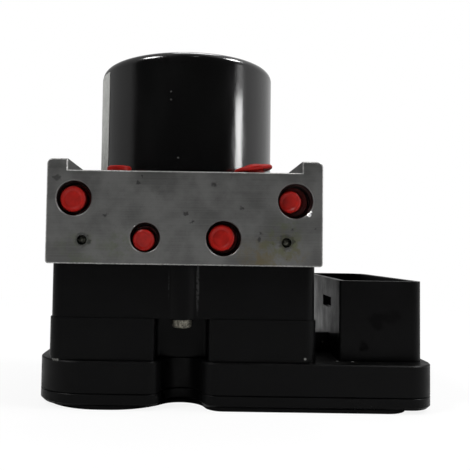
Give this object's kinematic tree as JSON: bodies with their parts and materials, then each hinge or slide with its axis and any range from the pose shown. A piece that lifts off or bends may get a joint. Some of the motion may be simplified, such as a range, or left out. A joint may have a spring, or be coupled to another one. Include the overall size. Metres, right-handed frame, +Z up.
{
  "type": "abs brake module",
  "caption": "Anti-lock brake unit: drilled valve block with line ports, pump motor above, moulded controller with an open connector shroud below.",
  "frame": {"origin": "the point where the motor's axis meets the plane that the unit rests on, the bottom of the controller's lid", "axes": "+X to the right along the block, towards the connector shroud; +Y to the rear, away from the brake line ports; +Z up along the motor's axis"},
  "size_m": [0.1407, 0.0886, 0.131],
  "materials": {
    "block_metal": "milled, greyed, with fine cutting lines and a few stains",
    "can_metal": "glossy black paint",
    "label_film": "blank pale grey film, mottled",
    "housing_plastic": "moulded, half matt",
    "lid_plastic": "moulded, half matt",
    "plug_red": "bright red, moulded",
    "bright_steel": "turned",
    "screw_steel": "black zinc",
    "cap_metal": "turned",
    "spring_steel": "drawn wire",
    "piston_aluminium": "anodised",
    "magnet_ferrite": "sintered",
    "core_steel": "stacked sheet",
    "copper": "copper wire and bars",
    "bush_bronze": "sintered bronze",
    "inner_plastic": "moulded",
    "brush_carbon": "pressed carbon and copper",
    "coil_winding": "varnished winding in a steel cup",
    "board_laminate": "laminate",
    "pin_metal": "tinned"
  },
  "bodies": {
    "base": {"valve_block": "block_metal", "motor_can": "can_metal", "motor_label": "label_film", "ecu_housing": "housing_plastic", "ecu_lid": "lid_plastic", "port_plug_outer_left": "plug_red", "port_plug_outer_right": "plug_red", "port_plug_inner_left": "plug_red", "port_plug_inner_right": "plug_red", "master_plug_left": "plug_red", "master_plug_right": "plug_red", "ball_plugs": "bright_steel", "ecu_screws": "bright_steel", "pump_valve_balls": "bright_steel", "front_bearing": "bright_steel", "rear_bearing": "bright_steel", "pump_sleeve_left": "bright_steel", "pump_sleeve_right": "bright_steel", "inlet_valves": "bright_steel", "outlet_valves": "bright_steel", "motor_screws": "screw_steel", "pump_cap_left": "cap_metal", "pump_cap_right": "cap_metal", "accumulator_cap_left": "cap_metal", "accumulator_cap_right": "cap_metal", "pump_spring_left": "spring_steel", "pump_spring_right": "spring_steel", "accumulator_spring_left": "spring_steel", "accumulator_spring_right": "spring_steel", "brush_springs": "spring_steel", "magnets": "magnet_ferrite", "motor_contacts": "copper", "tail_bush": "bush_bronze", "brush_plate": "inner_plastic", "contact_column": "inner_plastic", "brushes": "brush_carbon", "inlet_coils": "coil_winding", "outlet_coils": "coil_winding", "circuit_board": "board_laminate", "connector_pins": "pin_metal"},
    "rotor": {"rotor_shaft": "bright_steel", "armature_core": "core_steel", "armature_windings": "copper", "commutator": "copper", "eccentric_bearing": "bright_steel"},
    "pump_plunger_left": {"pump_piston_left": "bright_steel"},
    "pump_plunger_right": {"pump_piston_right": "bright_steel"},
    "reservoir_left": {"accumulator_piston_left": "piston_aluminium"},
    "reservoir_right": {"accumulator_piston_right": "piston_aluminium"},
    "inlet_plunger_1_body": {"inlet_plunger_1": "bright_steel"},
    "inlet_plunger_2_body": {"inlet_plunger_2": "bright_steel"},
    "inlet_plunger_3_body": {"inlet_plunger_3": "bright_steel"},
    "inlet_plunger_4_body": {"inlet_plunger_4": "bright_steel"},
    "outlet_plunger_1_body": {"outlet_plunger_1": "bright_steel"},
    "outlet_plunger_2_body": {"outlet_plunger_2": "bright_steel"},
    "outlet_plunger_3_body": {"outlet_plunger_3": "bright_steel"},
    "outlet_plunger_4_body": {"outlet_plunger_4": "bright_steel"}
  },
  "joints": [
    {"name": "rotor_spin", "type": "hinge", "parent": "base", "child": "rotor", "pos_m": [0, 0, 0.1], "axis": [0, 0, 1], "continuous": true},
    {"name": "pump_slide_left", "type": "slide", "parent": "base", "child": "pump_plunger_left", "axis": [1, 0, 0], "range_m": [0, 0.0014]},
    {"name": "pump_slide_right", "type": "slide", "parent": "base", "child": "pump_plunger_right", "axis": [-1, 0, 0], "range_m": [0, 0.0014]},
    {"name": "reservoir_slide_left", "type": "slide", "parent": "base", "child": "reservoir_left", "axis": [0, 1, 0], "range_m": [0, 0.005], "stiffness_N_per_m": 400, "springref_m": -0.004, "deforming": ["accumulator_spring_left"]},
    {"name": "reservoir_slide_right", "type": "slide", "parent": "base", "child": "reservoir_right", "axis": [0, 1, 0], "range_m": [0, 0.005], "stiffness_N_per_m": 400, "springref_m": -0.004, "deforming": ["accumulator_spring_right"]},
    {"name": "inlet_plunger_1_slide", "type": "slide", "parent": "base", "child": "inlet_plunger_1_body", "axis": [0, 0, 1], "range_m": [0, 0.0003], "stiffness_N_per_m": 300, "springref_m": -0.001},
    {"name": "inlet_plunger_2_slide", "type": "slide", "parent": "base", "child": "inlet_plunger_2_body", "axis": [0, 0, 1], "range_m": [0, 0.0003], "stiffness_N_per_m": 300, "springref_m": -0.001},
    {"name": "inlet_plunger_3_slide", "type": "slide", "parent": "base", "child": "inlet_plunger_3_body", "axis": [0, 0, 1], "range_m": [0, 0.0003], "stiffness_N_per_m": 300, "springref_m": -0.001},
    {"name": "inlet_plunger_4_slide", "type": "slide", "parent": "base", "child": "inlet_plunger_4_body", "axis": [0, 0, 1], "range_m": [0, 0.0003], "stiffness_N_per_m": 300, "springref_m": -0.001},
    {"name": "outlet_plunger_1_slide", "type": "slide", "parent": "base", "child": "outlet_plunger_1_body", "axis": [0, 0, -1], "range_m": [0, 0.0003], "stiffness_N_per_m": 300, "springref_m": -0.001},
    {"name": "outlet_plunger_2_slide", "type": "slide", "parent": "base", "child": "outlet_plunger_2_body", "axis": [0, 0, -1], "range_m": [0, 0.0003], "stiffness_N_per_m": 300, "springref_m": -0.001},
    {"name": "outlet_plunger_3_slide", "type": "slide", "parent": "base", "child": "outlet_plunger_3_body", "axis": [0, 0, -1], "range_m": [0, 0.0003], "stiffness_N_per_m": 300, "springref_m": -0.001},
    {"name": "outlet_plunger_4_slide", "type": "slide", "parent": "base", "child": "outlet_plunger_4_body", "axis": [0, 0, -1], "range_m": [0, 0.0003], "stiffness_N_per_m": 300, "springref_m": -0.001}
  ]
}
